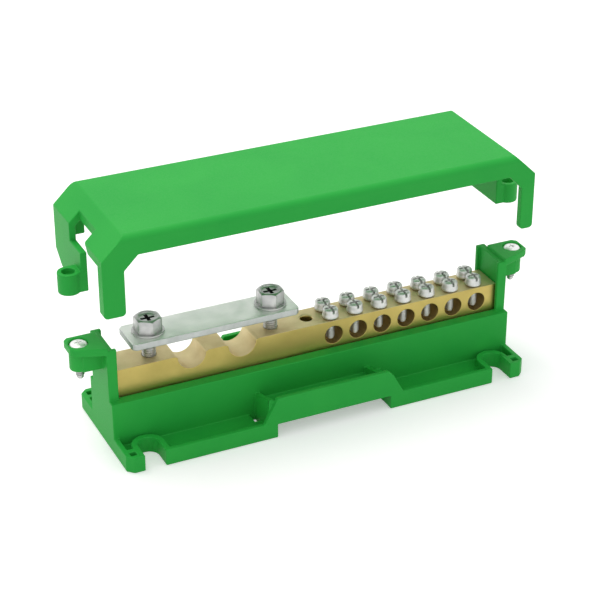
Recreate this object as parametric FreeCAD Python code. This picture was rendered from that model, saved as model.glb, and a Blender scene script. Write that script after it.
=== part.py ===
import FreeCAD, Part
import os
import math

Vector = FreeCAD.Vector

# Earth terminal bar on a moulded carrier, millimetres, +Z up, +X along the bar.
# The origin is on the underside, at the middle of the mounting rail channel.

# Brass bar
bar_length = 120.0
bar_width = 10.0
bar_height = 12.0
bar_bottom = 12.0
bar_top = bar_bottom + bar_height
bar_side_gap = 0.4
bar_end_gap = 0.3

# Wire tunnels and their screws
terminal_count = 7
terminal_pitch = 7.8
last_terminal_inset = 6.5
tunnel_diameter = 5.6
tunnel_roof = 1.8
tunnel_height = bar_top - tunnel_roof - tunnel_diameter / 2
screw_row_spacing = 5.2
terminal_shank = 2.5
terminal_head = 4.8
terminal_head_top = 4.3
terminal_head_height = 2.9
terminal_head_lift = 0.3
terminal_slot = 0.8
terminal_slot_depth = 1.0
terminal_cross = 3.2
terminal_tip_gap = 0.6
screw_tip_chamfer = 0.4
thread_gap = 0.05

# Spare tapped hole between the two groups
spare_hole = 3.4
spare_hole_place = 0.2
spare_countersink = 4.2

# Saddles for two large conductors under the clamp
clamp_inset = 30.6
saddle_spacing = 15.2
saddle_radius = 4.2
saddle_depth = 4.6
saddle_flare = 0.9

# Clamp plate, washers and screws
plate_length = 50.0
plate_width = 12.0
plate_thickness = 2.0
plate_lift = 5.2
plate_screw_inset = 6.6
plate_corner = 1.0
plate_hole_gap = 0.3
clamp_shank = 4.0
clamp_shank_end = 14.4
hex_across_flats = 7.0
hex_height = 4.1
hex_chamfer = 0.6
hex_turn = 30.0
clamp_cross = 4.2
clamp_cross_width = 0.9
clamp_cross_depth = 1.8
washer_diameter = 9.2
washer_thickness = 0.6
washer_hole_gap = 0.15

# Carrier
rail_width = 35.0
rail_gap = 0.2
channel_depth = 4.2
channel_side = 2.2
roof_thickness = 2.8
base_width = 40.0
flange_height = 4.9
pocket_floor = 2.3
rim_wall = 1.5
foot_chamfer = 1.8
trough_wall = 3.5
trough_height = 15.8
end_wall = 2.0
rib_thickness = 2.0
rib_pitch = 28.0
underside_floor = 2.0
underside_wall = 2.2

# Rail catches
nib_depth = 1.0
nib_corner = 1.6
nib_top = 3.0
nib_length = 6.0
nib_setback = 4.5

# Fixing slots
slot_width = 6.0
slot_side_inset = 8.0
slot_end_inset = 5.6
slot_rim = 1.7
slot_rib_inset = 4.1
slot_rib = 1.6

# Raised bridges over the rail
bridge_height = 12.5
bridge_top = 35.4
bridge_foot = 43.6
bridge_wall = 1.6
bridge_corner = 1.5
gusset_places = (-19.9, 14.6)
gusset_thickness = 1.5
gusset_high = 11.7
gusset_low = 8.8
core_hole_width = 1.8
core_hole_length = 4.0

# End posts and ears
post_width = 13.4
post_top = 31.5
post_lip = 0.9
ear_top = 32.4
ear_reach = 8.9
ear_root = 0.6
ear_thickness = 2.2
ear_back = 3.9
ear_tip = 3.9
ear_chamfer = 1.2
ear_screw_offset = 5.6
ear_boss = 5.6
ear_boss_bottom = 24.6
ear_web = 0.9
ear_web_gap = 0.3

# Cover screws
cover_screw_shank = 2.4
cover_screw_head = 5.2
cover_screw_head_height = 1.9
cover_screw_recess = 1.7
cover_screw_tip = 21.4
cover_screw_cross = 2.8
cover_screw_cross_width = 0.6
cover_screw_cross_depth = 1.0
head_gap = 0.15
captive_gap = 0.15

# Cover, lifted off and held behind its closed place
cover_lift = 27.6
cover_shift = 4.7
cover_end_gap = 0.8
cover_end_wall = 1.9
cover_width = 39.0
cover_top = 41.4
cover_wall = 2.2
cover_edge_radius = 2.0
chamfer_run = 6.4
chamfer_drop = 6.2
front_skirt = 6.0
rear_skirt = 12.9
left_leg_width = 6.2
right_leg_width = 4.2
leg_depth = 3.6
leg_bottom = 18.3
leg_corner = 1.2
leg_gusset = 4.0
rear_leg_width = 8.0
rear_leg_bottom = 25.6
end_corner_run = 4.7
end_corner_rise = 3.8
window_width = 12.4
window_inset = 3.3
sill_height = 30.0
ear_way_top = 32.6
window_slant = 2.4
tab_front = 2.1
cover_boss = 6.2
cover_boss_top = 24.4
cover_boss_hole = 2.1
cover_boss_mouth = 3.6
cover_boss_mouth_depth = 1.6

# Sizes that follow
base_half = bar_length / 2 + bar_end_gap + end_wall
cavity_half = bar_length / 2 + bar_end_gap
cavity_side = bar_width / 2 + bar_side_gap
trough_side = cavity_side + trough_wall
base_side = base_width / 2
channel_half = rail_width / 2 + rail_gap
trough_floor = channel_depth + roof_thickness
ear_screw_place = base_half + ear_screw_offset
first_terminal = bar_length / 2 - last_terminal_inset - (terminal_count - 1) * terminal_pitch
clamp_centre = -bar_length / 2 + clamp_inset
clamp_screw_spacing = plate_length - 2 * plate_screw_inset
plate_bottom = bar_top + plate_lift
plate_top = plate_bottom + plate_thickness
washer_top = plate_top + washer_thickness
slot_place = base_half - slot_side_inset
cover_end = base_half + cover_end_gap + cover_end_wall
slot_end = base_side - slot_end_inset


def box(x0, x1, y0, y1, z0, z1):
    return Part.makeBox(x1 - x0, y1 - y0, z1 - z0, Vector(x0, y0, z0))


def upright(diameter, x, y, z0, z1):
    return Part.makeCylinder(diameter / 2, z1 - z0, Vector(x, y, z0))


def cone(low_diameter, high_diameter, x, y, z0, z1):
    return Part.makeCone(low_diameter / 2, high_diameter / 2, z1 - z0, Vector(x, y, z0))


def slab(points, direction):
    outline = Part.makePolygon([Vector(*point) for point in points + points[:1]])
    return Part.Face(outline).extrude(Vector(*direction))


def mirrored_x(shape):
    return shape.mirror(Vector(0, 0, 0), Vector(1, 0, 0))


def mirrored_y(shape):
    return shape.mirror(Vector(0, 0, 0), Vector(0, 1, 0))


def on_all_corners(shape):
    pair = [shape, mirrored_x(shape)]
    return pair + [mirrored_y(one) for one in pair]


def joined(shapes):
    return shapes[0].multiFuse(shapes[1:]).removeSplitter()


def save(shape, name):
    shape.exportStep("parts/" + name + ".step")


# Carrier: flange with its rims, pockets and open fixing slots
def flange_outline(height):
    corner = foot_chamfer
    points = [
        (-base_half + corner, -base_side, 0), (base_half - corner, -base_side, 0),
        (base_half, -base_side + corner, 0), (base_half, base_side - corner, 0),
        (base_half - corner, base_side, 0), (-base_half + corner, base_side, 0),
        (-base_half, base_side - corner, 0), (-base_half, -base_side + corner, 0),
    ]
    return slab(points, (0, 0, height))


def corner_pocket():
    rim_half = slot_width / 2 + slot_rim
    pocket = box(channel_half + channel_side, base_half - rim_wall,
                 trough_side, base_side - rim_wall, pocket_floor, flange_height + 1)
    rim = upright(2 * rim_half, slot_place, slot_end, 0, flange_height + 1)
    rim = rim.fuse(box(slot_place - rim_half, slot_place + rim_half,
                       slot_end, base_side, 0, flange_height + 1))
    rib_y = base_side - slot_rib_inset
    rib = box(slot_place, base_half, rib_y - slot_rib / 2, rib_y + slot_rib / 2,
              0, flange_height + 1)
    return pocket.cut(rim).cut(rib)


def fixing_slot():
    round_end = upright(slot_width, slot_place, slot_end, -1, flange_height + 1)
    mouth = box(slot_place - slot_width / 2, slot_place + slot_width / 2,
                slot_end, base_side + 1, -1, flange_height + 1)
    return round_end.fuse(mouth)


def core_opening():
    x0 = channel_half + channel_side
    return box(x0, x0 + core_hole_width, trough_side, trough_side + core_hole_length,
               -1, flange_height)


# Carrier: trough that the bar lies in, with its cross ribs
def trough_body():
    return box(-base_half, base_half, -trough_side, trough_side, 0, trough_height)


def trough_cavity():
    cavity = box(-cavity_half, cavity_half, -cavity_side, cavity_side,
                 trough_floor, post_top + 1)
    ribs = []
    for place in (-2, -1, 0, 1, 2):
        x = place * rib_pitch
        ribs.append(box(x - rib_thickness / 2, x + rib_thickness / 2,
                        -cavity_side, cavity_side, trough_floor - 1, bar_bottom))
    return cavity.cut(Part.Compound(ribs))


def underside_pocket():
    middle = (channel_half + base_half) / 2
    pocket = box(channel_half + underside_wall, base_half - underside_wall,
                 -cavity_side, cavity_side, -1, trough_floor - underside_floor)
    rib = box(middle - rib_thickness / 2, middle + rib_thickness / 2,
              -cavity_side, cavity_side, -1, trough_floor)
    return pocket.cut(rib)


# Carrier: rail channel, its catches and the bridges over it
def rail_channel():
    return box(-channel_half, channel_half, -base_side - 1, base_side + 1, -1, channel_depth)


def channel_block():
    half = channel_half + channel_side
    return box(-half, half, -base_side, base_side, 0, trough_floor)


def rail_nib():
    wall = channel_half + 0.1
    y0 = base_side - nib_setback - nib_length
    points = [
        (wall, y0, 0), (channel_half, y0, 0),
        (channel_half - nib_depth, y0, nib_corner), (channel_half - nib_depth, y0, nib_top),
        (wall, y0, nib_top),
    ]
    return slab(points, (0, nib_length, 0))


def bridge():
    inner = base_side - bridge_wall
    top = bridge_top / 2
    foot = bridge_foot / 2
    corner = bridge_corner
    points = [
        (-foot, inner, flange_height - 1), (-foot, inner, flange_height),
        (-top, inner, bridge_height), (top - corner / 2, inner, bridge_height),
        (top + corner / 2, inner, bridge_height - corner),
        (foot, inner, flange_height), (foot, inner, flange_height - 1),
    ]
    wall = slab(points, (0, bridge_wall, 0))
    gussets = []
    for x in gusset_places:
        side = [
            (x, inner + 0.1, trough_floor - 1), (x, inner + 0.1, gusset_high),
            (x, inner, gusset_high), (x, trough_side - 0.1, gusset_low),
            (x, trough_side - 0.1, trough_floor - 1),
        ]
        gussets.append(slab(side, (gusset_thickness, 0, 0)))
    return joined([wall] + gussets)


# Carrier: end posts with the ears that take the cover screws
def post():
    side = post_width / 2
    block = box(cavity_half - post_lip, base_half, -side, side, trough_floor, post_top)
    recess = box(cavity_half - post_lip - 1, cavity_half, -cavity_side, cavity_side,
                 trough_floor - 1, post_top + 1)
    return block.cut(recess)


def ear():
    tip = base_half + ear_reach
    root = base_half - ear_root
    bottom = ear_top - ear_thickness
    points = [
        (root, -post_width / 2, bottom), (base_half, -post_width / 2, bottom),
        (tip - ear_chamfer, -ear_tip, bottom), (tip, -ear_tip + ear_chamfer, bottom),
        (tip, ear_back - ear_chamfer, bottom), (tip - ear_chamfer, ear_back, bottom),
        (root, ear_back, bottom),
    ]
    plate = slab(points, (0, 0, ear_thickness))
    boss = upright(ear_boss, ear_screw_place, 0, ear_boss_bottom, bottom + 0.1)
    web_back = -tab_front - ear_web_gap
    web = box(root, ear_screw_place, web_back - ear_web, web_back, ear_boss_bottom, bottom + 0.1)
    return plate.fuse(boss).fuse(web)


def ear_hole():
    seat = ear_top - cover_screw_recess
    way = upright(cover_screw_shank + 2 * captive_gap, ear_screw_place, 0,
                  ear_boss_bottom - 1, seat + 1)
    recess = upright(cover_screw_head + 2 * head_gap, ear_screw_place, 0, seat, ear_top + 1)
    return way.fuse(recess)


def make_base():
    corners = on_all_corners(corner_pocket())
    flange = flange_outline(flange_height).cut(Part.Compound(corners))
    bridges = [bridge(), mirrored_y(bridge())]
    posts = [post(), mirrored_x(post())]
    ears = [ear(), mirrored_x(ear())]
    body = joined([flange, channel_block(), trough_body()] + bridges + posts + ears)
    cuts = [trough_cavity(), rail_channel(), underside_pocket(), mirrored_x(underside_pocket())]
    cuts += on_all_corners(fixing_slot())
    cuts += on_all_corners(core_opening())
    cuts += [ear_hole(), mirrored_x(ear_hole())]
    for one in cuts:
        body = body.cut(one)
    return joined([body] + on_all_corners(rail_nib()))


# Brass bar with its tunnels, saddles and tapped holes
def terminal_x(number):
    return first_terminal + number * terminal_pitch


def saddle(x):
    middle = bar_top - saddle_depth + saddle_radius
    wide = saddle_radius + saddle_flare
    y0 = -bar_width / 2 - 1
    length = bar_width + 2
    groove = Part.makeCylinder(saddle_radius, length, Vector(x, y0, middle), Vector(0, 1, 0))
    flare = [
        (x - saddle_radius, y0, middle), (x + saddle_radius, y0, middle),
        (x + wide, y0, bar_top), (x + wide, y0, bar_top + 1),
        (x - wide, y0, bar_top + 1), (x - wide, y0, bar_top),
    ]
    return groove.fuse(slab(flare, (0, length, 0)))


def make_bar():
    half = bar_length / 2
    side = bar_width / 2
    bar = box(-half, half, -side, side, bar_bottom, bar_top)
    for number in range(terminal_count):
        x = terminal_x(number)
        tunnel = Part.makeCylinder(tunnel_diameter / 2, bar_width + 2,
                                   Vector(x, -side - 1, tunnel_height), Vector(0, 1, 0))
        bar = bar.cut(tunnel)
        for row in (-1, 1):
            y = row * screw_row_spacing / 2
            hole = terminal_shank + 2 * thread_gap
            bar = bar.cut(upright(hole, x, y, tunnel_height, bar_top + 1))
    for side_sign in (-1, 1):
        x = clamp_centre + side_sign * clamp_screw_spacing / 2
        hole = clamp_shank + 2 * thread_gap
        bar = bar.cut(upright(hole, x, 0, bar_bottom - 1, bar_top + 1))
        bar = bar.cut(saddle(clamp_centre + side_sign * saddle_spacing / 2))
    bar = bar.cut(upright(spare_hole, spare_hole_place, 0, bar_bottom - 1, bar_top + 1))
    sink = (spare_countersink - spare_hole) / 2
    return bar.cut(cone(spare_hole, spare_countersink, spare_hole_place, 0,
                        bar_top - sink, bar_top))


# Terminal screw: flared head with a long slot and a short cross bar
def make_terminal_screw(x, y):
    under_head = bar_top + terminal_head_lift
    head_top = under_head + terminal_head_height
    flare = terminal_head_height / 3
    tip = tunnel_height - tunnel_diameter / 2 + terminal_tip_gap
    screw = upright(terminal_head, x, y, under_head, under_head + flare)
    screw = screw.fuse(cone(terminal_head, terminal_head_top, x, y, under_head + flare, head_top))
    screw = screw.fuse(upright(terminal_shank, x, y, tip + screw_tip_chamfer, under_head))
    screw = screw.fuse(cone(terminal_shank - 2 * screw_tip_chamfer, terminal_shank, x, y,
                            tip, tip + screw_tip_chamfer))
    slot_floor = head_top - terminal_slot_depth
    reach = terminal_head / 2 + 1
    slot = box(x - terminal_slot / 2, x + terminal_slot / 2, y - reach, y + reach,
               slot_floor, head_top + 1)
    bar = box(x - terminal_cross / 2, x + terminal_cross / 2,
              y - terminal_slot / 2, y + terminal_slot / 2, slot_floor, head_top + 1)
    return screw.removeSplitter().cut(slot).cut(bar)


# Clamp plate, washers and hexagon screws
def make_clamp_plate():
    half = plate_length / 2
    side = plate_width / 2
    corner = plate_corner
    x0 = clamp_centre - half
    x1 = clamp_centre + half
    points = [
        (x0 + corner, -side, plate_bottom), (x1 - corner, -side, plate_bottom),
        (x1, -side + corner, plate_bottom), (x1, side - corner, plate_bottom),
        (x1 - corner, side, plate_bottom), (x0 + corner, side, plate_bottom),
        (x0, side - corner, plate_bottom), (x0, -side + corner, plate_bottom),
    ]
    plate = slab(points, (0, 0, plate_thickness))
    for sign in (-1, 1):
        x = clamp_centre + sign * clamp_screw_spacing / 2
        hole = clamp_shank + 2 * plate_hole_gap
        plate = plate.cut(upright(hole, x, 0, plate_bottom - 1, plate_top + 1))
    return plate


def make_clamp_washer(x):
    ring = upright(washer_diameter, x, 0, plate_top, washer_top)
    hole = clamp_shank + 2 * washer_hole_gap
    return ring.cut(upright(hole, x, 0, plate_top - 1, washer_top + 1))


def make_clamp_screw(x):
    head_top = washer_top + hex_height
    corner = hex_across_flats / math.sqrt(3)
    points = []
    for step in range(6):
        angle = math.radians(hex_turn + 60 * step)
        points.append((x + corner * math.cos(angle), corner * math.sin(angle), washer_top))
    head = slab(points, (0, 0, hex_height))
    shoulder = head_top - hex_chamfer
    turned = upright(2 * corner, x, 0, washer_top, shoulder)
    turned = turned.fuse(cone(2 * corner, 2 * corner - 4 * hex_chamfer, x, 0, shoulder, head_top))
    head = head.common(turned)
    screw = head.fuse(upright(clamp_shank, x, 0, clamp_shank_end + screw_tip_chamfer, washer_top))
    screw = screw.fuse(cone(clamp_shank - 2 * screw_tip_chamfer, clamp_shank, x, 0,
                            clamp_shank_end, clamp_shank_end + screw_tip_chamfer))
    return screw.cut(cross(x, 0, clamp_cross, clamp_cross_width, head_top, clamp_cross_depth))


def cross(x, y, size, width, top, depth):
    one = box(x - size / 2, x + size / 2, y - width / 2, y + width / 2, top - depth, top + 1)
    other = box(x - width / 2, x + width / 2, y - size / 2, y + size / 2, top - depth, top + 1)
    return one.fuse(other)


# Cover screw, held captive in its ear
def make_cover_screw(x):
    seat = ear_top - cover_screw_recess
    head_top = seat + cover_screw_head_height
    screw = upright(cover_screw_head, x, 0, seat, head_top)
    screw = screw.fuse(upright(cover_screw_shank, x, 0, cover_screw_tip + screw_tip_chamfer, seat))
    screw = screw.fuse(cone(cover_screw_shank - 2 * screw_tip_chamfer, cover_screw_shank, x, 0,
                            cover_screw_tip, cover_screw_tip + screw_tip_chamfer))
    recess = cross(x, 0, cover_screw_cross, cover_screw_cross_width, head_top,
                   cover_screw_cross_depth)
    return screw.removeSplitter().cut(recess)


# Cover, drawn in its closed place
def cover_shell():
    side = cover_width / 2
    roof_end = cover_end - chamfer_run
    shoulder = cover_top - chamfer_drop
    outer = slab([(-cover_end, -side, leg_bottom), (cover_end, -side, leg_bottom),
                  (cover_end, -side, shoulder), (roof_end, -side, cover_top),
                  (-roof_end, -side, cover_top), (-cover_end, -side, shoulder)],
                 (0, cover_width, 0))
    long_edges = []
    for edge in outer.Edges:
        first = edge.Vertexes[0].Point
        last = edge.Vertexes[-1].Point
        on_roof = min(first.z, last.z) > shoulder + 0.1
        along = abs(first.y - last.y) < 0.1
        if on_roof and along:
            long_edges.append(edge)
    outer = outer.makeFillet(cover_edge_radius, long_edges)
    slope = math.hypot(chamfer_run, chamfer_drop)
    pull = cover_wall * (slope - chamfer_drop) / chamfer_run
    in_end = cover_end - cover_end_wall
    in_side = side - cover_wall
    in_roof = roof_end - pull
    in_top = cover_top - cover_wall
    rise = (in_end - in_roof) * chamfer_drop / chamfer_run
    inner = slab([(-in_end, -in_side, leg_bottom - 1), (in_end, -in_side, leg_bottom - 1),
                  (in_end, -in_side, in_top - rise), (in_roof, -in_side, in_top),
                  (-in_roof, -in_side, in_top), (-in_end, -in_side, in_top - rise)],
                 (0, 2 * in_side, 0))
    return outer.cut(inner)


# The way for wires below the front skirt, between two legs with rounded feet
def front_opening():
    left = left_leg_width - cover_end
    right = cover_end - right_leg_width
    top = cover_top - front_skirt
    y0 = -cover_width / 2 - 1
    reach = cover_wall + 1
    points = [
        (left, y0, leg_bottom - 1), (right, y0, leg_bottom - 1),
        (right, y0, top - leg_gusset), (right - leg_gusset, y0, top),
        (left + leg_gusset, y0, top), (left, y0, top - leg_gusset),
    ]
    cuts = [slab(points, (0, reach, 0))]
    for x, direction in ((left, -1), (right, 1)):
        cuts.append(foot_corner(x, direction, y0, reach))
    for x, direction in ((-cover_end, 1), (cover_end, -1)):
        cuts.append(foot_corner(x, direction, y0, leg_depth + 1))
    return cuts


def foot_corner(x, direction, y0, reach):
    far = x + direction * leg_corner
    square = box(min(x, far), max(x, far), y0, y0 + reach, leg_bottom, leg_bottom + leg_corner)
    centre = Vector(far, y0, leg_bottom + leg_corner)
    return square.cut(Part.makeCylinder(leg_corner, reach, centre, Vector(0, 1, 0)))


# The way for wires below the rear skirt, between two short legs
def rear_opening():
    side = cover_width / 2
    in_end = cover_end - cover_end_wall
    inner = cover_end - rear_leg_width
    low = box(-in_end, in_end, side - cover_wall, side + 1, leg_bottom - 1, rear_leg_bottom)
    high = box(-inner, inner, side - cover_wall, side + 1, leg_bottom - 1,
               cover_top - rear_skirt)
    corner = [(-cover_end - 1, side, leg_bottom), (-cover_end - 1, side - end_corner_run, leg_bottom),
              (-cover_end - 1, side, leg_bottom + end_corner_rise)]
    return [low, high, slab(corner, (2 * cover_end + 2, 0, 0))]


# One end: window over the sill, way in for the ear, boss for the screw
def end_openings():
    side = cover_width / 2
    window = box(cover_end - window_inset, cover_end + 1, -window_width / 2, window_width / 2,
                 sill_height, cover_top + 1)
    x0 = cover_end - cover_end_wall - 1
    way = box(x0, cover_end + 1, -side + leg_depth, -tab_front, leg_bottom - 1, ear_way_top)
    corner = -window_width / 2
    slant = slab([(x0, corner - window_slant, ear_way_top), (x0, corner, ear_way_top),
                  (x0, corner, cover_top - chamfer_drop)], (cover_end + 1 - x0, 0, 0))
    return window.fuse(way).fuse(slant)


def cover_boss_body():
    radius = cover_boss / 2
    round_part = upright(cover_boss, ear_screw_place, 0, leg_bottom, cover_boss_top)
    block = box(cover_end - cover_end_wall / 2, ear_screw_place, -tab_front, radius,
                leg_bottom, cover_boss_top)
    return round_part.fuse(block)


def cover_boss_cut():
    hole = upright(cover_boss_hole, ear_screw_place, 0, leg_bottom - 1, cover_boss_top + 1)
    mouth = upright(cover_boss_mouth, ear_screw_place, 0,
                    cover_boss_top - cover_boss_mouth_depth, cover_boss_top + 1)
    return hole.fuse(mouth)


def make_cover():
    cover = cover_shell()
    ends = [end_openings(), mirrored_x(end_openings())]
    for opening in front_opening() + rear_opening() + ends:
        cover = cover.cut(opening)
    cover = joined([cover, cover_boss_body(), mirrored_x(cover_boss_body())])
    for hole in (cover_boss_cut(), mirrored_x(cover_boss_cut())):
        cover = cover.cut(hole)
    cover.translate(Vector(0, cover_shift, cover_lift))
    return cover


os.makedirs("parts", exist_ok=True)
save(make_base(), "base_housing")
save(make_bar(), "brass_bar")
save(make_cover(), "cover")
save(make_clamp_plate(), "clamp_plate")
for end_name, end_sign in (("left", -1), ("right", 1)):
    clamp_x = clamp_centre + end_sign * clamp_screw_spacing / 2
    save(make_clamp_washer(clamp_x), "clamp_washer_" + end_name)
    save(make_clamp_screw(clamp_x), "clamp_screw_" + end_name)
    save(make_cover_screw(end_sign * ear_screw_place), "cover_screw_" + end_name)
for row_name, row_sign in (("front", -1), ("rear", 1)):
    for number in range(terminal_count):
        screw = make_terminal_screw(terminal_x(number), row_sign * screw_row_spacing / 2)
        save(screw, "terminal_screw_" + row_name + "_" + str(number + 1))
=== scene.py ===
import math
import bmesh
import bpy
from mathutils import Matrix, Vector


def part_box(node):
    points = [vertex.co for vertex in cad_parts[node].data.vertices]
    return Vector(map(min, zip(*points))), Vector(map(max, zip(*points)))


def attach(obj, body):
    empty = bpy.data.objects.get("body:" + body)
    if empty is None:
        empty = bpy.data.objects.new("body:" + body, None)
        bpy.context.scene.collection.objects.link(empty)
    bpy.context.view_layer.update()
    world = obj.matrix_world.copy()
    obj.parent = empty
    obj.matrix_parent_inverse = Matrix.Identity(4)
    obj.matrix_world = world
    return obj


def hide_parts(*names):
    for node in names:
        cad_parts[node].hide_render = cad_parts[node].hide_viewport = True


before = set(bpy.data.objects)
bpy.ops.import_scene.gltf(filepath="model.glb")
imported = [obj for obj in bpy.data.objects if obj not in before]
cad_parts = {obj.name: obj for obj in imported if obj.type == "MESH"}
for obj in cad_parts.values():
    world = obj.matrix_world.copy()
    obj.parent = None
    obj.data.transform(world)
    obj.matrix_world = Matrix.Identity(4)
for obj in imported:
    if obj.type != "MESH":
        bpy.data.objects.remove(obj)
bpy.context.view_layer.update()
scene = bpy.context.scene
mm = 0.001
print("frame loaded")


# small helpers for nodes

def addNode(tree, kind, **settings):
    node = tree.nodes.new(kind)
    for key, value in settings.items():
        setattr(node, key, value)
    return node


def wire(tree, start, end):
    tree.links.new(start, end)


def newGroup(name, inputs, outputs):
    group = bpy.data.node_groups.new(name, "ShaderNodeTree")
    for label, kind, value in inputs:
        socket = group.interface.new_socket(name=label, in_out="INPUT", socket_type=kind)
        if value is not None:
            socket.default_value = value
    for label, kind in outputs:
        group.interface.new_socket(name=label, in_out="OUTPUT", socket_type=kind)
    return group, addNode(group, "NodeGroupInput"), addNode(group, "NodeGroupOutput")


def stretched(tree, vector, scale):
    mapping = addNode(tree, "ShaderNodeMapping")
    mapping.inputs["Scale"].default_value = scale
    wire(tree, vector, mapping.inputs["Vector"])
    return mapping.outputs["Vector"]


def spread(tree, value, oldRange, newLow, newHigh):
    # squeezes a mask into a new range, whose ends are numbers or sockets
    ranged = addNode(tree, "ShaderNodeMapRange")
    ranged.inputs["From Min"].default_value = oldRange[0]
    ranged.inputs["From Max"].default_value = oldRange[1]
    for label, end in (("To Min", newLow), ("To Max", newHigh)):
        if isinstance(end, (int, float)):
            ranged.inputs[label].default_value = end
        else:
            wire(tree, end, ranged.inputs[label])
    wire(tree, value, ranged.inputs["Value"])
    return ranged.outputs["Result"]


def blendColour(tree, mask, first, second):
    # this node's sockets 6 and 7 are its two colours, and output 2 is their blend
    mix = addNode(tree, "ShaderNodeMix", data_type="RGBA")
    wire(tree, mask, mix.inputs["Factor"])
    wire(tree, first, mix.inputs[6])
    wire(tree, second, mix.inputs[7])
    return mix.outputs[2]


def objectPlace(tree):
    return addNode(tree, "ShaderNodeTexCoord").outputs["Object"]


# one where the camera, a reflection or a see-through ray looks, else nought
def seenMask(tree):
    rays = addNode(tree, "ShaderNodeLightPath")
    mask = rays.outputs["Is Camera Ray"]
    for label in ("Is Glossy Ray", "Is Transmission Ray"):
        larger = addNode(tree, "ShaderNodeMath", operation="MAXIMUM")
        wire(tree, mask, larger.inputs[0])
        wire(tree, rays.outputs[label], larger.inputs[1])
        mask = larger.outputs[0]
    return mask


# where each mask's useful values lie
maskRange = {"flow": (0.3, 0.7), "grain": (0.3, 0.7), "film": (0.35, 0.68), "dull": (0.2, 1.0),
             "seen": (0.0, 1.0)}
skinOutputs = [("Colour", "NodeSocketColor"), ("Roughness", "NodeSocketFloat"),
               ("Height", "NodeSocketFloat")]


# moulded plastic: faint cloudy flow in the colour, a fine spark-eroded grain in the height
def buildMouldedGroup():
    group, entry, leave = newGroup("mouldedSkin", [
        ("Place", "NodeSocketVector", None),
        ("Colour", "NodeSocketColor", (0.5, 0.5, 0.5, 1)),
        ("Deep Colour", "NodeSocketColor", (0.4, 0.4, 0.4, 1)),
        ("Flow Size", "NodeSocketFloat", 60.0),
        ("Grain Size", "NodeSocketFloat", 3000.0),
        ("Smooth", "NodeSocketFloat", 0.35),
        ("Rough", "NodeSocketFloat", 0.5),
    ], skinOutputs)
    flow = addNode(group, "ShaderNodeTexNoise")
    flow.inputs["Detail"].default_value = 3.0
    flow.inputs["Distortion"].default_value = 0.6
    wire(group, entry.outputs["Place"], flow.inputs["Vector"])
    wire(group, entry.outputs["Flow Size"], flow.inputs["Scale"])
    grain = addNode(group, "ShaderNodeTexNoise")
    grain.inputs["Detail"].default_value = 3.0
    wire(group, entry.outputs["Place"], grain.inputs["Vector"])
    wire(group, entry.outputs["Grain Size"], grain.inputs["Scale"])
    cloudy = spread(group, flow.outputs["Fac"], maskRange["flow"], 0.0, 1.0)
    colour = blendColour(group, cloudy, entry.outputs["Colour"], entry.outputs["Deep Colour"])
    wire(group, colour, leave.inputs["Colour"])
    rough = spread(group, grain.outputs["Fac"], maskRange["grain"],
                   entry.outputs["Smooth"], entry.outputs["Rough"])
    wire(group, rough, leave.inputs["Roughness"])
    wire(group, grain.outputs["Fac"], leave.inputs["Height"])
    return group


# worked metal: lines along one way, with a dull film in cloudy patches
def buildWorkedGroup():
    group, entry, leave = newGroup("workedMetal", [
        ("Place", "NodeSocketVector", None),
        ("Lines Place", "NodeSocketVector", None),
        ("Colour", "NodeSocketColor", (0.5, 0.5, 0.5, 1)),
        ("Film Colour", "NodeSocketColor", (0.4, 0.4, 0.4, 1)),
        ("Film Size", "NodeSocketFloat", 120.0),
        ("Film Amount", "NodeSocketFloat", 0.6),
        ("Lines Share", "NodeSocketFloat", 0.7),
        ("Smooth", "NodeSocketFloat", 0.25),
        ("Rough", "NodeSocketFloat", 0.45),
    ], skinOutputs)
    lines = addNode(group, "ShaderNodeTexNoise")
    lines.inputs["Scale"].default_value = 1.0
    lines.inputs["Detail"].default_value = 4.0
    wire(group, entry.outputs["Lines Place"], lines.inputs["Vector"])
    film = addNode(group, "ShaderNodeTexNoise")
    film.inputs["Detail"].default_value = 4.0
    film.inputs["Roughness"].default_value = 0.6
    wire(group, entry.outputs["Place"], film.inputs["Vector"])
    wire(group, entry.outputs["Film Size"], film.inputs["Scale"])
    patches = spread(group, film.outputs["Fac"], maskRange["film"], 0.0,
                     entry.outputs["Film Amount"])
    colour = blendColour(group, patches, entry.outputs["Colour"], entry.outputs["Film Colour"])
    wire(group, colour, leave.inputs["Colour"])
    dull = addNode(group, "ShaderNodeMath", operation="MULTIPLY_ADD")
    wire(group, lines.outputs["Fac"], dull.inputs[0])
    wire(group, entry.outputs["Lines Share"], dull.inputs[1])
    wire(group, patches, dull.inputs[2])
    rough = spread(group, dull.outputs[0], maskRange["dull"],
                   entry.outputs["Smooth"], entry.outputs["Rough"])
    wire(group, rough, leave.inputs["Roughness"])
    wire(group, lines.outputs["Fac"], leave.inputs["Height"])
    return group


mouldedSkin = buildMouldedGroup()
workedMetal = buildWorkedGroup()


def newMaterial(name):
    material = bpy.data.materials.new(name)
    material.use_nodes = True
    tree = material.node_tree
    tree.nodes.clear()
    shader = addNode(tree, "ShaderNodeBsdfPrincipled")
    output = addNode(tree, "ShaderNodeOutputMaterial")
    wire(tree, shader.outputs["BSDF"], output.inputs["Surface"])
    return material, tree, shader


def useGroup(tree, shader, group, inputs, values):
    node = addNode(tree, "ShaderNodeGroup", node_tree=group)
    for label, key in inputs.items():
        node.inputs[label].default_value = values[key]
    wire(tree, node.outputs["Colour"], shader.inputs["Base Color"])
    wire(tree, node.outputs["Roughness"], shader.inputs["Roughness"])
    bump = addNode(tree, "ShaderNodeBump")
    bump.inputs["Strength"].default_value = values["bump"]
    bump.inputs["Distance"].default_value = values["bumpDepth"]
    wire(tree, node.outputs["Height"], bump.inputs["Height"])
    wire(tree, bump.outputs["Normal"], shader.inputs["Normal"])
    return node


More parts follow.
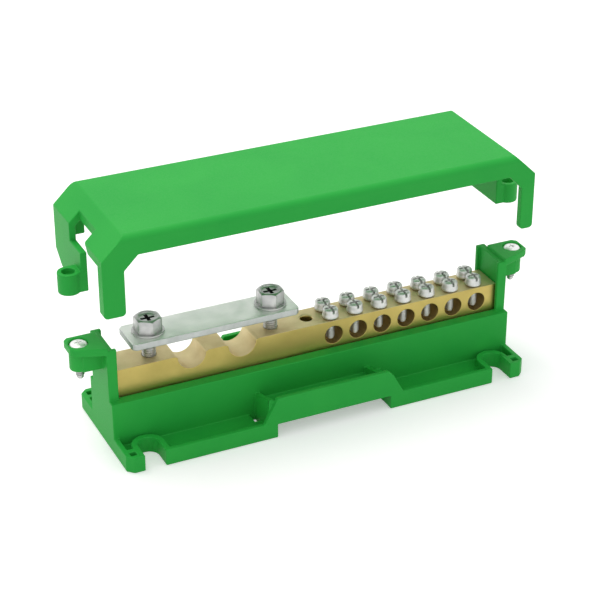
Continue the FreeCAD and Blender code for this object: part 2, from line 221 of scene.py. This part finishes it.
# the green plastic, and a near-black painted shade for the inside of a pressed cross recess
plastics = {
    "greenPlastic": {
        "colour": (0.026, 0.410, 0.056, 1), "deepColour": (0.020, 0.380, 0.052, 1),
        "flowSize": 55.0, "grainSize": 2600.0, "smooth": 0.42, "rough": 0.56,
        "specular": 0.16, "bump": 0.25, "bumpDepth": 0.00003,
    },
    # near-black painted shade for the depth of a cross recess
    "recessPaintedShade": {
        "colour": (0.012, 0.012, 0.013, 1), "deepColour": (0.03, 0.03, 0.032, 1),
        "flowSize": 900.0, "grainSize": 4000.0, "smooth": 0.45, "rough": 0.7,
        "specular": 0.3, "bump": 0.2, "bumpDepth": 0.00002,
    },
}
plasticInputs = {"Colour": "colour", "Deep Colour": "deepColour", "Flow Size": "flowSize",
                 "Grain Size": "grainSize", "Smooth": "smooth", "Rough": "rough"}


def buildPlastic(name):
    values = plastics[name]
    material, tree, shader = newMaterial(name)
    shader.inputs["Specular IOR Level"].default_value = values["specular"]
    skin = useGroup(tree, shader, mouldedSkin, plasticInputs, values)
    wire(tree, objectPlace(tree), skin.inputs["Place"])
    return material


metals = {
    "drawnBrass": {
        "colour": (0.60, 0.47, 0.15, 1), "film": (0.46, 0.36, 0.11, 1), "filmSize": 90.0,
        "filmAmount": 0.55, "lines": (40, 2600, 2600), "smooth": 0.34, "rough": 0.5,
        "bump": 0.3, "bumpDepth": 0.00002,
    },
    # paler brass for the milled top and grooves: a real milled face, made paler as painted light
    # on the top
    "milledBrassLitTop": {
        "colour": (0.76, 0.65, 0.38, 1), "film": (0.62, 0.51, 0.28, 1), "filmSize": 120.0,
        "filmAmount": 0.5, "lines": (60, 2200, 2200), "smooth": 0.48, "rough": 0.66,
        "bump": 0.3, "bumpDepth": 0.00002,
    },
    # darker brass inside the tunnels: painted shade
    "drilledBrassShaded": {
        "colour": (0.42, 0.32, 0.12, 1), "film": (0.30, 0.22, 0.08, 1), "filmSize": 300.0,
        "filmAmount": 0.6, "lines": (900, 900, 900), "smooth": 0.4, "rough": 0.6,
        "bump": 0.3, "bumpDepth": 0.00002,
    },
    "platedStrip": {
        "colour": (0.88, 0.90, 0.86, 1), "film": (0.78, 0.81, 0.78, 1), "filmSize": 160.0,
        "filmAmount": 0.6, "lines": (60, 2400, 2400), "smooth": 0.4, "rough": 0.58,
        "bump": 0.2, "bumpDepth": 0.00002,
    },
    "cutStrip": {
        "colour": (0.58, 0.60, 0.59, 1), "film": (0.48, 0.50, 0.49, 1), "filmSize": 260.0,
        "filmAmount": 0.6, "lines": (2400, 2400, 60), "smooth": 0.45, "rough": 0.62,
        "bump": 0.3, "bumpDepth": 0.00002,
    },
    # near-white metal for the cover screw heads: a painted highlight
    "brightScrewPaintedHighlight": {
        "colour": (0.97, 0.97, 0.96, 1), "film": (0.9, 0.91, 0.92, 1), "filmSize": 420.0,
        "filmAmount": 0.5, "lines": (2200, 160, 1), "smooth": 0.38, "rough": 0.55,
        "bump": 0.15, "bumpDepth": 0.00001,
    },
    "clampSteel": {
        "colour": (0.58, 0.58, 0.57, 1), "film": (0.42, 0.43, 0.43, 1), "filmSize": 300.0,
        "filmAmount": 0.7, "lines": (2200, 160, 1), "smooth": 0.32, "rough": 0.5,
        "bump": 0.2, "bumpDepth": 0.00001,
    },
    "platedScrew": {
        "colour": (0.74, 0.74, 0.72, 1), "film": (0.60, 0.61, 0.60, 1), "filmSize": 420.0,
        "filmAmount": 0.6, "lines": (2200, 160, 1), "smooth": 0.42, "rough": 0.6,
        "bump": 0.2, "bumpDepth": 0.00001,
    },
}
metalInputs = {"Colour": "colour", "Film Colour": "film", "Film Size": "filmSize",
               "Film Amount": "filmAmount", "Smooth": "smooth", "Rough": "rough"}


# rings round a screw's own axis: its radius and height, from its own stored place
def turnedWay(tree):
    own = addNode(tree, "ShaderNodeAttribute", attribute_name="turnedPlace")
    flat = addNode(tree, "ShaderNodeSeparateXYZ")
    wire(tree, own.outputs["Vector"], flat.inputs[0])
    across = addNode(tree, "ShaderNodeCombineXYZ")
    wire(tree, flat.outputs["X"], across.inputs["X"])
    wire(tree, flat.outputs["Y"], across.inputs["Y"])
    radius = addNode(tree, "ShaderNodeVectorMath", operation="LENGTH")
    wire(tree, across.outputs[0], radius.inputs[0])
    ring = addNode(tree, "ShaderNodeCombineXYZ")
    wire(tree, radius.outputs["Value"], ring.inputs["X"])
    wire(tree, flat.outputs["Z"], ring.inputs["Y"])
    return ring.outputs[0]


def buildMetal(name, turned=False):
    values = metals[name]
    material, tree, shader = newMaterial(name)
    shader.inputs["Metallic"].default_value = 1.0
    place = objectPlace(tree)
    along = turnedWay(tree) if turned else place
    skin = useGroup(tree, shader, workedMetal, metalInputs, values)
    wire(tree, place, skin.inputs["Place"])
    wire(tree, stretched(tree, along, values["lines"]), skin.inputs["Lines Place"])
    return material


finish = {
    "plastic": buildPlastic("greenPlastic"),
    "brass": buildMetal("drawnBrass"),
    "milled": buildMetal("milledBrassLitTop"),
    "drilled": buildMetal("drilledBrassShaded"),
    "strip": buildMetal("platedStrip"),
    "cut": buildMetal("cutStrip"),
    "screw": buildMetal("platedScrew", turned=True),
    "clamp": buildMetal("clampSteel", turned=True),
    "bright": buildMetal("brightScrewPaintedHighlight", turned=True),
    "recess": buildPlastic("recessPaintedShade"),
}
print("materials made")


# helpers for pieces; profiles and sizes are in millimetres

weldGap = 0.001
nodeWeldGap = 0.002
flatDegrees = 0.4
threadShape = {"rootEnd": 0.12, "crestStart": 0.45, "crestEnd": 0.67}


def sharpEdges(bm, degrees):
    picked = []
    for edge in bm.edges:
        if len(edge.link_faces) == 2 and edge.calc_face_angle() > math.radians(degrees):
            picked.append(edge)
    return picked


def softenEdges(bm, width, segments=2, degrees=28):
    bmesh.ops.bevel(bm, geom=sharpEdges(bm, degrees), offset=width * mm, offset_type="OFFSET",
                    affect="EDGES", segments=segments, profile=0.5, material=-1,
                    clamp_overlap=False, loop_slide=True)


def nodeCopy(node):
    bm = bmesh.new()
    bm.from_mesh(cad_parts[node].data)
    bmesh.ops.remove_doubles(bm, verts=bm.verts, dist=nodeWeldGap * mm)
    bmesh.ops.dissolve_limit(bm, angle_limit=math.radians(flatDegrees), verts=bm.verts,
                             edges=bm.edges, use_dissolve_boundaries=False, delimit=set())
    return bm


def placePiece(name, bm, materials, body, node, smoothBelow=32, weighted=True):
    mesh = bpy.data.meshes.new(name)
    for material in materials:
        mesh.materials.append(material)
    bm.to_mesh(mesh)
    bm.free()
    mesh.shade_smooth()
    mesh.set_sharp_from_angle(angle=math.radians(smoothBelow))
    piece = bpy.data.objects.new(name, mesh)
    scene.collection.objects.link(piece)
    if weighted:
        even = piece.modifiers.new("evenShading", "WEIGHTED_NORMAL")
        even.keep_sharp = True
    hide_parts(node)
    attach(piece, body)


def combine(bm, other, operation):
    # uses both up and gives the joined, cut or shared form
    items = []
    for part in (bm, other):
        mesh = bpy.data.meshes.new("workMesh")
        part.to_mesh(mesh)
        part.free()
        item = bpy.data.objects.new("workItem", mesh)
        scene.collection.objects.link(item)
        items.append(item)
    step = items[0].modifiers.new("combine", "BOOLEAN")
    step.operation = operation
    step.solver = "EXACT"
    step.object = items[1]
    result = bmesh.new()
    result.from_object(items[0], bpy.context.evaluated_depsgraph_get())
    for item in items:
        mesh = item.data
        bpy.data.objects.remove(item)
        bpy.data.meshes.remove(mesh)
    return result


def addTo(bm, other):
    mesh = bpy.data.meshes.new("workMesh")
    other.to_mesh(mesh)
    other.free()
    bm.from_mesh(mesh)
    bpy.data.meshes.remove(mesh)


def chain(bm, points):
    verts = [bm.verts.new((radius * mm, 0, height * mm)) for radius, height in points]
    return verts + [bm.edges.new(pair) for pair in zip(verts, verts[1:])]


def lathe(points, steps):
    # turns a profile of (radius, height) round Z
    bm = bmesh.new()
    bmesh.ops.spin(bm, geom=chain(bm, points), cent=(0, 0, 0), axis=(0, 0, 1), dvec=(0, 0, 0),
                   angle=math.tau, steps=steps, use_merge=True)
    bmesh.ops.remove_doubles(bm, verts=bm.verts, dist=weldGap * mm)
    bmesh.ops.recalc_face_normals(bm, faces=bm.faces)
    return bm


def thread(radius, depth, pitch, low, high, steps):
    # one zigzag per turn, spun up by one pitch so that it closes as a helix
    turns = max(1, round((high - low) / pitch) - 1)
    points = []
    for turn in range(turns):
        z = low + turn * pitch
        points += [(radius - depth, z), (radius - depth, z + threadShape["rootEnd"] * pitch),
                   (radius, z + threadShape["crestStart"] * pitch),
                   (radius, z + threadShape["crestEnd"] * pitch)]
    points.append((radius - depth, low + turns * pitch))
    bm = bmesh.new()
    bmesh.ops.spin(bm, geom=chain(bm, points), cent=(0, 0, 0), axis=(0, 0, 1),
                   dvec=(0, 0, pitch * mm / steps), angle=math.tau, steps=steps)
    bmesh.ops.remove_doubles(bm, verts=bm.verts, dist=weldGap * mm)
    rim = [edge for edge in bm.edges if len(edge.link_faces) == 1]
    bmesh.ops.holes_fill(bm, edges=rim, sides=0)
    bmesh.ops.recalc_face_normals(bm, faces=bm.faces)
    return bm


def block(sizeX, sizeY, low, high, taper):
    # box about the axis, its lower end narrowed by the taper
    bm = bmesh.new()
    bmesh.ops.create_cube(bm, size=1.0)
    bmesh.ops.scale(bm, vec=(sizeX * mm, sizeY * mm, (high - low) * mm), verts=bm.verts)
    bmesh.ops.translate(bm, vec=(0, 0, (high + low) / 2 * mm), verts=bm.verts)
    lower = [vert for vert in bm.verts if vert.co.z < (high + low) / 2 * mm]
    bmesh.ops.scale(bm, vec=(taper, taper, 1), verts=lower)
    return bm


def crossSpans(values):
    long = values["crossLength"]
    narrow = values["crossWidth"]
    return ((long, narrow), (narrow, long))


def cutCross(head, values):
    for sizes in crossSpans(values):
        cutter = block(*sizes, -values["crossDepth"], values["cutFrom"], values["crossTaper"])
        head = combine(head, cutter, "DIFFERENCE")
    return head


def addShank(bm, values):
    # a core that starts inside the head and ends in a turned tip, with the thread round it
    radius = values["shank"] / 2
    core = radius - values["threadDepth"]
    end = -values["total"]
    under = -values["headHeight"]
    start = under + values["coreStart"]
    tip = [(core + out, end + rise) for out, rise in values["tip"]]
    points = [(0, start), (tip[0][0], start)] + tip + [(0, end)]
    addTo(bm, lathe(points, values["coreSteps"]))
    addTo(bm, thread(radius, values["threadDepth"], values["pitch"], end + values["threadStart"],
                     under + values["threadEnd"], values["threadSteps"]))


def storePlace(bm):
    layer = bm.verts.layers.float_vector.new("turnedPlace")
    for vert in bm.verts:
        vert[layer] = vert.co


def nodeMiddle(node):
    low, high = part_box(node)
    return (Vector(low) + Vector(high)) / 2


def setPattern(pattern, node, name, body, materials):
    # a copy of a turned pattern, its axis through the node's middle, its top at the node's top
    middle = nodeMiddle(node)
    bm = pattern.copy()
    bmesh.ops.translate(bm, vec=(middle.x, middle.y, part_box(node)[1][2]), verts=bm.verts)
    placePiece(name, bm, materials, body, node, smoothBelow=38, weighted=False)


# green mouldings

mouldings = {
    "carrierMoulding": {"node": "base_housing", "body": "carrier", "edge": 0.28},
    "coverMoulding": {"node": "cover", "body": "cover", "edge": 0.3},
}


def makeMouldings():
    for name, values in mouldings.items():
        bm = nodeCopy(values["node"])
        softenEdges(bm, values["edge"])
        placePiece(name, bm, [finish["plastic"]], values["body"], values["node"])
    print("mouldings made")


# brass bar with its edges broken

barValues = {
    "edge": 0.18, "grooveStart": -45.0, "grooveEnd": -14.0, "grooveDrop": 5.0,
    "tunnelStart": 3.0, "skin": 0.3, "facing": 0.7,
}


def finishBarWithPaintedLight(bm):
    # milled on top and in the grooves, in a paler brass that also paints the light on the upward
    # faces; drilled inside the tunnels, in a darker brass that paints the shade in them; drawn
    # elsewhere
    low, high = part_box("brass_bar")
    half, side, top = [size / mm for size in high]
    under = low[2] / mm
    skin = barValues["skin"]
    facing = barValues["facing"]
    for face in bm.faces:
        middle = face.calc_center_median() / mm
        onSide = abs(middle.y) > side - skin or abs(middle.x) > half - skin
        onTop = face.normal.z > facing and middle.z > top - skin
        inGroove = (barValues["grooveStart"] < middle.x < barValues["grooveEnd"]
                    and middle.z > top - barValues["grooveDrop"] and abs(face.normal.y) < facing)
        inTunnel = (not onSide and middle.x > barValues["tunnelStart"]
                    and under + skin < middle.z < top - skin)
        # upward faces get the paler brass (painted light), tunnel faces the darker one (painted
        # shade)
        if onTop or inGroove:
            face.material_index = 1
        elif inTunnel:
            face.material_index = 2


def makeBar():
    bm = nodeCopy("brass_bar")
    softenEdges(bm, barValues["edge"])
    finishBarWithPaintedLight(bm)
    placePiece("earthBar", bm, [finish["brass"], finish["milled"], finish["drilled"]],
               "carrier", "brass_bar")
    print("bar made")


# clamp: plate, washers, hexagon screws with a cross in an indented head

plateValues = {"edge": 0.3, "seatGap": 0.02, "sideFacing": 0.6}
washerValues = {"edge": 0.12}
hexValues = {
    "acrossFlats": 7.0, "headHeight": 4.1, "edge": 0.06, "edgeDegrees": 30, "turnSteps": 72,
    # (out from the corners' circle, height) round the outside, (radius, height) of the cup
    "cornerProfile": [(-0.95, 0), (-0.7, -0.06), (0.05, -0.42), (0.05, -3.95), (-0.2, -4.1)],
    "cupProfile": [(0, 0.5), (2.65, 0.5), (2.65, 0), (2.5, -0.35), (2.3, -0.5), (0, -0.56)],
    "crossLength": 4.3, "crossWidth": 1.1, "crossDepth": 2.0, "cutFrom": -0.1, "crossTaper": 0.72,
    # below this depth the cross recess gets the painted shade
    "paintedShadeBelow": -0.6, "paintedShadeRoom": 0.02,
    "shank": 4.0, "threadDepth": 0.36, "pitch": 0.7, "total": 21.5, "coreStart": 0.3,
    "tip": [(0.02, 0.4), (-0.3, 0)], "coreSteps": 32,
    "threadStart": 0.5, "threadEnd": 0.5, "threadSteps": 28,
}


def paintRecessShade(bm):
    # faces of the cross below the cup's floor get the near-black finish, a painted shade for the
    # deep recess
    room = hexValues["paintedShadeRoom"]
    for face in bm.faces:
        middle = face.calc_center_median() / mm
        for spanX, spanY in crossSpans(hexValues):
            inside = abs(middle.x) < spanX / 2 + room and abs(middle.y) < spanY / 2 + room
            if inside and middle.z < hexValues["paintedShadeBelow"]:
                face.material_index = 1


def hexScrewPattern():
    corner = hexValues["acrossFlats"] / math.sqrt(3)
    height = hexValues["headHeight"]
    steps = hexValues["turnSteps"]
    head = bmesh.new()
    bmesh.ops.create_cone(head, cap_ends=True, segments=6, radius1=corner * mm,
                          radius2=corner * mm, depth=height * mm)
    bmesh.ops.translate(head, vec=(0, 0, -height / 2 * mm), verts=head.verts)
    turned = [(corner + out, z) for out, z in hexValues["cornerProfile"]]
    head = combine(head, lathe([(0, 0)] + turned + [(0, -height)], steps), "INTERSECT")
    head = combine(head, lathe(hexValues["cupProfile"], steps), "DIFFERENCE")
    head = cutCross(head, hexValues)
    softenEdges(head, hexValues["edge"], 1, hexValues["edgeDegrees"])
    paintRecessShade(head)
    addShank(head, hexValues)
    storePlace(head)
    return head


def makePlate():
    plate = nodeCopy("clamp_plate")
    softenEdges(plate, plateValues["edge"])
    # a hair of room over the bar when the clamp is down
    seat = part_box("clamp_plate")[0][2] + plateValues["seatGap"] * mm
    for vert in plate.verts:
        vert.co.z = max(vert.co.z, seat)
    # the sheared sides are duller than the rolled faces
    for face in plate.faces:
        if abs(face.normal.z) < plateValues["sideFacing"]:
            face.material_index = 1
    placePiece("clampPlate", plate, [finish["strip"], finish["cut"]], "clamp",
               "clamp_plate")


def makeWasher(end):
    node = "clamp_washer_" + end
    washer = nodeCopy(node)
    softenEdges(washer, washerValues["edge"])
    middle = nodeMiddle(node)
    bmesh.ops.translate(washer, vec=-middle, verts=washer.verts)
    storePlace(washer)
    bmesh.ops.translate(washer, vec=middle, verts=washer.verts)
    placePiece("clampWasher." + end, washer, [finish["clamp"]], "clamp", node)


def makeClamp():
    makePlate()
    pattern = hexScrewPattern()
    for end in ("left", "right"):
        makeWasher(end)
        setPattern(pattern, "clamp_screw_" + end, "clampScrew." + end, "clamp",
                   [finish["clamp"], finish["recess"]])
    pattern.free()
    print("clamp made")


# fourteen terminal screws: crowned head with a long slot and a short cross bar

terminalValues = {
    "headHeight": 2.88, "edge": 0.045, "edgeDegrees": 35, "turnSteps": 56,
    "headProfile": [(0, 0), (0.8, -0.015), (1.4, -0.07), (1.82, -0.19), (2.08, -0.36),
                    (2.21, -0.62), (2.24, -1.4), (2.32, -2.0), (2.4, -2.2), (2.4, -2.74),
                    (2.26, -2.88), (0, -2.88)],
    "slotWidth": 0.74, "slotDepth": 1.25, "slotLength": 5.8, "slotTaper": 0.9,
    "barLength": 3.5, "barTaper": 0.85, "cutFrom": 0.5,
    "shank": 2.5, "threadDepth": 0.24, "pitch": 0.45, "total": 9.99, "coreStart": 0.3,
    "tip": [(0.02, 0.35), (-0.2, 0.08), (-0.5, 0)], "coreSteps": 28,
    "threadStart": 0.35, "threadEnd": 0.3, "threadSteps": 20,
}


def terminalPattern():
    values = terminalValues
    head = lathe(values["headProfile"], values["turnSteps"])
    for sizeX, sizeY, taper in (
            (values["slotWidth"], values["slotLength"], values["slotTaper"]),
            (values["barLength"], values["slotWidth"], values["barTaper"])):
        cutter = block(sizeX, sizeY, -values["slotDepth"], values["cutFrom"], taper)
        head = combine(head, cutter, "DIFFERENCE")
    softenEdges(head, values["edge"], 1, values["edgeDegrees"])
    addShank(head, values)
    storePlace(head)
    return head


def makeTerminalScrews():
    pattern = terminalPattern()
    for row in ("front", "rear"):
        for number in range(1, 8):
            node = "terminal_screw_" + row + "_" + str(number)
            setPattern(pattern, node, "terminalScrew." + row + str(number), node,
                       [finish["screw"]])
    pattern.free()
    print("terminal screws made")


# two cover screws with a domed head and a cross recess

coverScrewValues = {
    "headHeight": 1.9, "edge": 0.04, "edgeDegrees": 35, "turnSteps": 56,
    "headProfile": [(0, 0), (0.7, -0.02), (1.3, -0.09), (1.8, -0.22), (2.2, -0.42),
                    (2.48, -0.72), (2.6, -1.05), (2.6, -1.8), (2.5, -1.9), (0, -1.9)],
    "crossLength": 2.6, "crossWidth": 0.5, "crossDepth": 0.8, "cutFrom": 0.5, "crossTaper": 0.6,
    "shank": 2.4, "threadDepth": 0.26, "pitch": 0.5, "total": 11.18, "coreStart": 0.3,
    "tip": [(0.02, 0.4), (-0.3, 0)], "coreSteps": 28,
    "threadStart": 0.6, "threadEnd": 0.3, "threadSteps": 20,
}


def coverScrewPattern():
    values = coverScrewValues
    head = cutCross(lathe(values["headProfile"], values["turnSteps"]), values)
    softenEdges(head, values["edge"], 1, values["edgeDegrees"])
    addShank(head, values)
    # the shank gets the darker clamp steel as painted shade under the ear, and the head's whiter
    # metal is a painted highlight
    for face in head.faces:
        if face.calc_center_median().z < -values["headHeight"] * mm:
            face.material_index = 1
    storePlace(head)
    return head


def makeCoverScrews():
    pattern = coverScrewPattern()
    for end in ("left", "right"):
        node = "cover_screw_" + end
        setPattern(pattern, node, "coverScrew." + end, node, [finish["bright"], finish["clamp"]])
    pattern.free()
    print("cover screws made")


makeMouldings()
makeBar()
makeClamp()
makeTerminalScrews()
makeCoverScrews()


# floor, light and camera

studio = {
    "worldLight": 0.8, "worldSeen": 1.0, "worldColour": (1.0, 1.0, 1.0, 1),
    "floorSize": 3.0, "floorDrop": 0.05, "floorColour": (0.82, 0.82, 0.83, 1),
    "floorGlow": 0.36, "glowColour": (1, 1, 1, 1),
    "keyPlace": (-0.15, 0.35, 1.05), "keyAim": (0, 0, 0.03), "keySize": 0.6, "keyPower": 5.0,
    "keyColour": (1.0, 0.97, 0.9),
    "cameraPlace": (-0.1994, -0.4211, 0.2831), "cameraAim": (0.0009, 0.0055, 0.0269),
    "lens": 111.87, "sensor": 36,
}


def makeWorld():
    world = bpy.data.worlds.new("studioWorld")
    scene.world = world
    world.use_nodes = True
    tree = world.node_tree
    tree.nodes.clear()
    strength = spread(tree, seenMask(tree), maskRange["seen"], studio["worldLight"],
                      studio["worldSeen"])
    background = addNode(tree, "ShaderNodeBackground")
    background.inputs["Color"].default_value = studio["worldColour"]
    wire(tree, strength, background.inputs["Strength"])
    output = addNode(tree, "ShaderNodeOutputWorld")
    wire(tree, background.outputs[0], output.inputs["Surface"])


def makeFloor():
    bm = bmesh.new()
    bmesh.ops.create_grid(bm, x_segments=1, y_segments=1, size=studio["floorSize"])
    bmesh.ops.translate(bm, vec=(0, 0, -studio["floorDrop"] * mm), verts=bm.verts)
    mesh = bpy.data.meshes.new("studioFloor")
    bm.to_mesh(mesh)
    bm.free()
    floor = bpy.data.objects.new("studioFloor", mesh)
    scene.collection.objects.link(floor)
    material, tree, shader = newMaterial("paleFloor")
    shader.inputs["Base Color"].default_value = studio["floorColour"]
    shader.inputs["Roughness"].default_value = 1.0
    shader.inputs["Specular IOR Level"].default_value = 0.0
    shader.inputs["Emission Color"].default_value = studio["glowColour"]
    glow = spread(tree, seenMask(tree), maskRange["seen"], 0.0, studio["floorGlow"])
    wire(tree, glow, shader.inputs["Emission Strength"])
    mesh.materials.append(material)


def addAimed(name, data, place, target):
    item = bpy.data.objects.new(name, data)
    scene.collection.objects.link(item)
    item.location = place
    way = Vector(target) - Vector(place)
    item.rotation_euler = way.to_track_quat("-Z", "Y").to_euler()
    return item


def makeLight():
    light = bpy.data.lights.new("softKey", "AREA")
    light.shape = "SQUARE"
    light.size = studio["keySize"]
    light.energy = studio["keyPower"]
    light.color = studio["keyColour"]
    addAimed("softKey", light, studio["keyPlace"], studio["keyAim"])


def makeCamera():
    view = bpy.data.cameras.new("productCamera")
    view.lens = studio["lens"]
    view.sensor_width = studio["sensor"]
    scene.camera = addAimed("productCamera", view, studio["cameraPlace"], studio["cameraAim"])


makeWorld()
makeFloor()
makeLight()
makeCamera()
scene.view_settings.view_transform = "Standard"
print("studio made")
